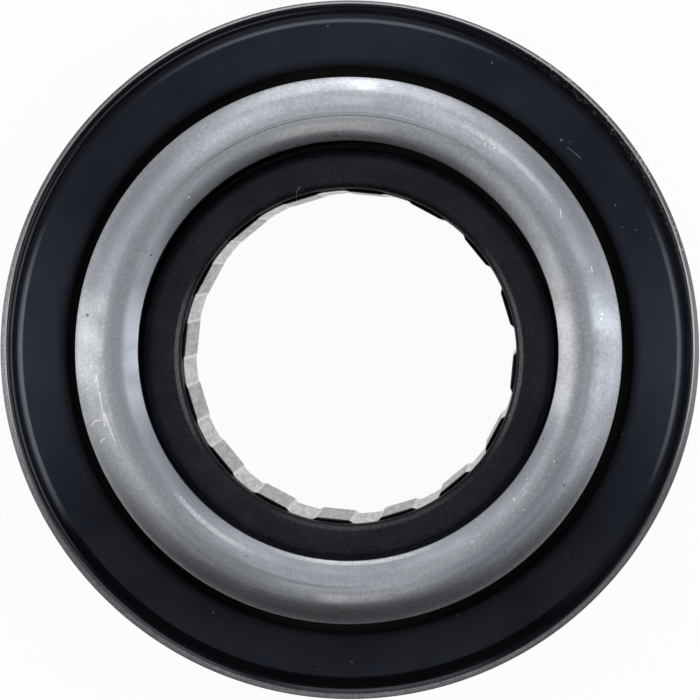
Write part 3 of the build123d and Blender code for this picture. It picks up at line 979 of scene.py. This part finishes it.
nodeLooks = {
    # Colour, roughness, metallic, pitch of the turned lines, grain size and bump height
    "ballSteel": ((0.62, 0.62, 0.63, 1), 0.12, 1.0, 0.6, 0.5, 0.0005),
    "cagePlastic": ((0.05, 0.05, 0.048, 1), 0.45, 0.0, 0.5, 0.2, 0.012),
    "sealRubber": ((0.0022, 0.0022, 0.0024, 1), 0.75, 0.0, 0.3, 0.2, 0.02),
    "springSteel": ((0.15, 0.15, 0.165, 1), 0.45, 1.0, 0.15, 0.2, 0.006),
    "ringSteel": ((0.5, 0.5, 0.51, 1), 0.3, 1.0, 0.12, 0.2, 0.004),
    "plateSteel": ((0.4, 0.4, 0.41, 1), 0.36, 1.0, 0.16, 0.25, 0.008),
}
nodeFinish = {
    "ball_cage": "cagePlastic", "front_seal": "sealRubber", "rear_seal": "sealRubber",
    "float_spring": "springSteel", "retaining_ring": "springSteel", "outer_ring": "ringSteel",
    "thrust_plate": "plateSteel",
}


def nodeMaterial(name, axis, colour, roughness, metallic, pitch, grainSize, bump):
    material, tree, shader, place = startMaterial(name, axis, Metallic=metallic, Specular_IOR_Level=0.3)
    surface = useGroup(tree, grain, place=place, grainSize=grainSize, blotchSize=6.0)
    lines = useGroup(tree, turnedLines, place=place, pitch=pitch, drift=0.3)["Lines"]
    dark = (*(0.7 * channel for channel in colour[:3]), 1)
    shade = ramp(tree, mixOf(tree, surface["Blotch"], lines, 0.6), 0.35, 0.65)
    feed(tree, shader["Base Color"], blendColour(tree, shade, dark, colour))
    rough = ramp(tree, surface["Blotch"], 0.3, 0.7, roughness - 0.05, roughness + 0.06)
    feed(tree, shader["Roughness"], rough)
    addBump(tree, shader, calc(tree, "ADD", surface["Grain"], lines), bump)
    return material


def dressNodes():
    made = {name: nodeMaterial(name, bearingAxis, *look) for name, look in nodeLooks.items()}
    for name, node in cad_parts.items():
        finish = nodeFinish.get(name, "ballSteel" if name.startswith("ball_") else None)
        if finish:
            node.data.materials.clear()
            node.data.materials.append(made[finish])
    print("materials on the inner pieces")


# Floor, lamps and camera

stageLook = {
    "floorSize": 6.0, "floorHeight": -0.0001, "floorGlow": 0.95, "floorColour": (0.9, 0.9, 0.9, 1),
    "floorRoughness": 0.8,
    # What metal sees of the backdrop: bright behind and overhead, darker towards the front
    "frontTone": 0.04, "backTone": 0.4, "mirrorLift": 0.02, "floorFrontTone": 0.07, "floorFarTone": 0.45,
    "cameraPlace": (0.01798, 0.0109, 0.762), "cameraTarget": (0.00008, 0.00063, 0.0276), "lens": 351.2,
}

# Each lamp: direction round Z, angle from straight up, width, height, distance, brightness, colour,
# and whether it shows in reflections
lamps = {
    "sideLeft": (180, 58, 0.26, 1.04, 0.75, 1.44, (1.0, 0.985, 0.95), True),
    "sideRight": (0, 58, 0.23, 1.02, 0.75, 2.0, (0.95, 0.97, 1.0), True),
    "overLeft": (112, 40, 0.22, 0.36, 0.75, 0.93, (0.98, 0.98, 1.0), True),
    "overRight": (68, 41, 0.22, 0.36, 0.75, 0.93, (0.98, 0.98, 1.0), True),
    "backLow": (90, 78, 0.46, 0.46, 0.75, 1.75, (1.0, 1.0, 1.0), True),
    "frontSmall": (266, 32, 0.15, 0.28, 0.75, 0.85, (1.0, 0.99, 0.97), True),
    "fill": (0, 10, 0.55, 0.55, 0.9, 2.6, (1.0, 1.0, 1.0), False),
}


def seenByEye(tree):
    # 1 for what the camera sees straight, and 1 for what it sees in a reflection or through glass
    path = addNode(tree, "ShaderNodeLightPath")
    return path.outputs["Is Camera Ray"], calc(
        tree, "MAXIMUM", path.outputs["Is Glossy Ray"], path.outputs["Is Transmission Ray"]
    )


def makeFloor(look):
    bm = bmesh.new()
    bmesh.ops.create_grid(bm, x_segments=1, y_segments=1, size=look["floorSize"] / 2)
    bmesh.ops.translate(bm, verts=bm.verts, vec=(0, 0, look["floorHeight"]))
    mesh = bpy.data.meshes.new("floor")
    bm.to_mesh(mesh)
    bm.free()
    material = bpy.data.materials.new("paleFloor")
    material.use_nodes = True
    tree = material.node_tree
    principled = tree.nodes["Principled BSDF"]
    principled.inputs["Base Color"].default_value = look["floorColour"]
    principled.inputs["Roughness"].default_value = look["floorRoughness"]

    camera, mirror = seenByEye(tree)
    place = addNode(tree, "ShaderNodeTexCoord").outputs["Object"]
    split = addNode(tree, "ShaderNodeSeparateXYZ")
    feed(tree, split.inputs[0], place)
    away = calcVector(tree, "LENGTH", place)
    # Away from the part it is bright below the side and back lamps, grey between them and dark in front
    across, along = (calc(tree, "ABSOLUTE", split.outputs[axis]) for axis in "XY")
    between = calc(tree, "DIVIDE", calc(tree, "MINIMUM", across, along), away)
    far = ramp(tree, between, 0.15, 0.35, 1.0, look["floorFarTone"])
    tone = ramp(tree, away, 0.05, 0.08, 0.95, far)
    front = ramp(tree, split.outputs["Y"], -0.15, -0.05, look["floorFrontTone"], 1.0)
    tone = calc(tree, "MINIMUM", tone, front)
    glow = addNode(tree, "ShaderNodeEmission")
    feed(tree, glow.inputs["Strength"], calc(tree, "MAXIMUM", camera, tone))
    mix = addNode(tree, "ShaderNodeMixShader")
    feed(tree, mix.inputs[0], calc(tree, "MAXIMUM", times(tree, camera, look["floorGlow"]), mirror))
    tree.links.new(principled.outputs[0], mix.inputs[1])
    tree.links.new(glow.outputs[0], mix.inputs[2])
    # From below, the floor is clear, so that the rear face can be looked at
    under = addNode(tree, "ShaderNodeMixShader")
    feed(tree, under.inputs[0], addNode(tree, "ShaderNodeNewGeometry").outputs["Backfacing"])
    tree.links.new(mix.outputs[0], under.inputs[1])
    tree.links.new(addNode(tree, "ShaderNodeBsdfTransparent").outputs[0], under.inputs[2])
    tree.links.new(under.outputs[0], tree.nodes["Material Output"].inputs["Surface"])
    mesh.materials.append(material)
    addObject("floor", mesh)


def makeWorld(look):
    world = bpy.data.worlds.new("studio")
    world.use_nodes = True
    tree = world.node_tree
    background = tree.nodes["Background"]
    background.inputs["Color"].default_value = (1, 1, 1, 1)
    split = addNode(tree, "ShaderNodeSeparateXYZ")
    feed(tree, split.inputs[0], addNode(tree, "ShaderNodeTexCoord").outputs["Generated"])
    tone = ramp(tree, split.outputs["Y"], -0.82, 0.1, look["frontTone"], look["backTone"])
    camera, mirror = seenByEye(tree)
    tone = calc(tree, "ADD", tone, times(tree, mirror, look["mirrorLift"]))
    feed(tree, background.inputs["Strength"], calc(tree, "MAXIMUM", camera, tone))
    bpy.context.scene.world = world


def lookFrom(place, target, sideways):
    # Turn of a lamp or camera at a place, facing a target, with its right side along a direction
    backward = (place - target).normalized()
    rightward = (sideways - backward * sideways.dot(backward)).normalized()
    return Matrix((rightward, backward.cross(rightward), backward)).transposed()


def makeLamps(target):
    for name, (around, fromUp, width, height, distance, brightness, colour, mirrored) in lamps.items():
        light = bpy.data.lights.new(name, "AREA")
        light.shape = "RECTANGLE"
        light.size, light.size_y = width, height
        light.energy = brightness * math.pi * width * height
        light.color = colour
        turn, tilt = math.radians(around), math.radians(fromUp)
        outward = Vector((
            math.sin(tilt) * math.cos(turn), math.sin(tilt) * math.sin(turn), math.cos(tilt),
        ))
        sideways = Vector((-math.sin(turn), math.cos(turn), 0))
        lamp = addObject(name, light)
        place = target + outward * distance
        lamp.matrix_world = Matrix.LocRotScale(place, lookFrom(place, target, sideways), None)
        lamp.visible_camera = False
        lamp.visible_glossy = mirrored


def makeCamera(look):
    data = bpy.data.cameras.new("camera")
    data.lens = look["lens"]
    data.sensor_width = 36
    data.clip_start, data.clip_end = 0.01, 20
    camera = addObject("camera", data)
    place, target = Vector(look["cameraPlace"]), Vector(look["cameraTarget"])
    # The picture's right side is +X and its upward side is +Y; the camera looks down on the contact nose
    camera.matrix_world = Matrix.LocRotScale(place, lookFrom(place, target, Vector((1, 0, 0))), None)
    bpy.context.scene.camera = camera


makeCamera(stageLook)
makeNose(noseLook)
makeCasing(casingLook)
makeShield(shieldLook)
makeSleeve(sleeveLook)
dressNodes()
makeFloor(stageLook)
makeWorld(stageLook)
makeLamps(Vector(stageLook["cameraTarget"]))
bpy.context.scene.view_settings.view_transform = "Standard"
print("floor, lamps and camera ready")
